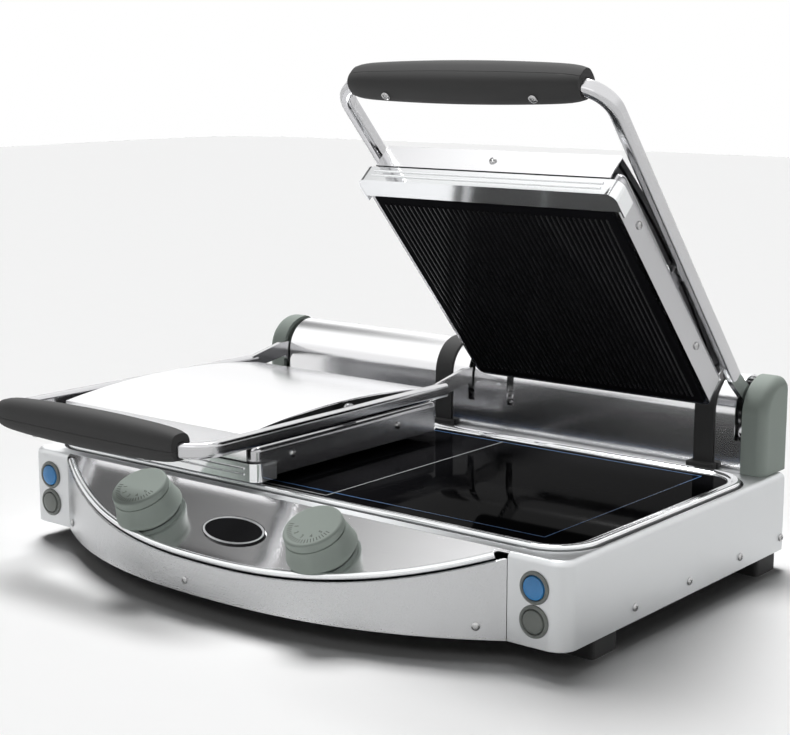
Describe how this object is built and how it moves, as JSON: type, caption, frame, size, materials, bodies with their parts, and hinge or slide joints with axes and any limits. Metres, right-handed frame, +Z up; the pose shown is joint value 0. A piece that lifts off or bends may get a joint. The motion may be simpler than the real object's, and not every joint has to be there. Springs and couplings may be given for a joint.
{
  "type": "panini press",
  "caption": "Double glass-ceramic contact grill: two ribbed, self-levelling lids on sprung arms over a flat glass hob, with a bowed control panel in front.",
  "frame": {"origin": "Middle of the footprint, on the worktop under the feet.", "axes": "+X along the width to the right as the user stands in front, +Y from the user to the hinge housing, +Z up."},
  "size_m": [0.619, 0.4596, 0.4606],
  "materials": {
    "satin_steel": "satin",
    "polished_steel": "polished",
    "dark_steel": "satin",
    "insulated_element": "matte",
    "black_glass": "gloss",
    "black_enamel": "gloss",
    "black_plastic": "matte",
    "grey_plastic": "matte",
    "blue_lens": "gloss",
    "foot_rubber": "matte"
  },
  "bodies": {
    "base": {"casing_shell": "satin_steel", "front_band": "satin_steel", "band_trim": "polished_steel", "control_panel": "satin_steel", "badge": "black_enamel", "base_plate": "dark_steel", "front_left_foot": "foot_rubber", "rear_left_foot": "foot_rubber", "front_right_foot": "foot_rubber", "rear_right_foot": "foot_rubber", "deck_rim": "polished_steel", "cooktop_glass": "black_glass", "cooktop_tray": "dark_steel", "hinge_cover": "satin_steel", "hinge_frame": "satin_steel", "cable_gland": "black_plastic", "left_lower_heater": "insulated_element", "left_thermostat": "dark_steel", "left_switch_block": "grey_plastic", "left_band_screw": "polished_steel", "left_end_cap": "grey_plastic", "left_cable_band": "black_plastic", "left_hinge_shaft": "satin_steel", "left_balance_spring": "dark_steel", "right_lower_heater": "insulated_element", "right_thermostat": "dark_steel", "right_switch_block": "grey_plastic", "right_band_screw": "polished_steel", "right_end_cap": "grey_plastic", "right_cable_band": "black_plastic", "right_hinge_shaft": "satin_steel", "right_balance_spring": "dark_steel"},
    "left_arm": {"left_arm_frame": "polished_steel", "left_grip_top": "black_plastic", "left_grip_bottom": "black_plastic", "left_lid_left_stud": "polished_steel", "left_lid_right_stud": "polished_steel"},
    "left_lid": {"left_lid_frame": "satin_steel", "left_lid_plate": "black_glass", "left_lid_cover": "polished_steel", "left_lid_heater": "insulated_element", "left_lid_gutter": "polished_steel"},
    "left_temperature_knob": {"left_knob": "grey_plastic", "left_knob_spindle": "satin_steel"},
    "left_upper_push_button": {"left_upper_button": "blue_lens"},
    "left_lower_push_button": {"left_lower_button": "grey_plastic"},
    "right_arm": {"right_arm_frame": "polished_steel", "right_grip_top": "black_plastic", "right_grip_bottom": "black_plastic", "right_lid_left_stud": "polished_steel", "right_lid_right_stud": "polished_steel"},
    "right_lid": {"right_lid_frame": "satin_steel", "right_lid_plate": "black_glass", "right_lid_cover": "polished_steel", "right_lid_heater": "insulated_element", "right_lid_gutter": "polished_steel"},
    "right_temperature_knob": {"right_knob": "grey_plastic", "right_knob_spindle": "satin_steel"},
    "right_upper_push_button": {"right_upper_button": "blue_lens"},
    "right_lower_push_button": {"right_lower_button": "grey_plastic"}
  },
  "joints": [
    {"name": "left_arm_hinge", "type": "hinge", "parent": "base", "child": "left_arm", "pos_m": [-0.15, 0.19825, 0.126], "axis": [-1, 0, 0], "range_deg": [0, 65]},
    {"name": "left_lid_pivot", "type": "hinge", "parent": "left_arm", "child": "left_lid", "pos_m": [-0.15, -0.00675, 0.138], "axis": [-1, 0, 0], "range_deg": [-0.6, 1.6]},
    {"name": "left_knob_turn", "type": "hinge", "parent": "base", "child": "left_temperature_knob", "pos_m": [-0.101, -0.18881, 0.06817], "axis": [0, 0.4695, -0.8829], "range_deg": [0, 270]},
    {"name": "left_upper_button_press", "type": "slide", "parent": "base", "child": "left_upper_push_button", "axis": [0, 1, 0], "range_m": [0, 0.002], "stiffness_N_per_m": 500},
    {"name": "left_lower_button_press", "type": "slide", "parent": "base", "child": "left_lower_push_button", "axis": [0, 1, 0], "range_m": [0, 0.002], "stiffness_N_per_m": 500},
    {"name": "right_arm_hinge", "type": "hinge", "parent": "base", "child": "right_arm", "pos_m": [0.15, 0.19825, 0.126], "axis": [-1, 0, 0], "range_deg": [-48, 17]},
    {"name": "right_lid_pivot", "type": "hinge", "parent": "right_arm", "child": "right_lid", "pos_m": [0.15, 0.07, 0.28637], "axis": [-1, 0, 0], "range_deg": [-0.6, 1.6]},
    {"name": "right_knob_turn", "type": "hinge", "parent": "base", "child": "right_temperature_knob", "pos_m": [0.101, -0.18881, 0.06817], "axis": [0, 0.4695, -0.8829], "range_deg": [0, 270]},
    {"name": "right_upper_button_press", "type": "slide", "parent": "base", "child": "right_upper_push_button", "axis": [0, 1, 0], "range_m": [0, 0.002], "stiffness_N_per_m": 500},
    {"name": "right_lower_button_press", "type": "slide", "parent": "base", "child": "right_lower_push_button", "axis": [0, 1, 0], "range_m": [0, 0.002], "stiffness_N_per_m": 500}
  ]
}
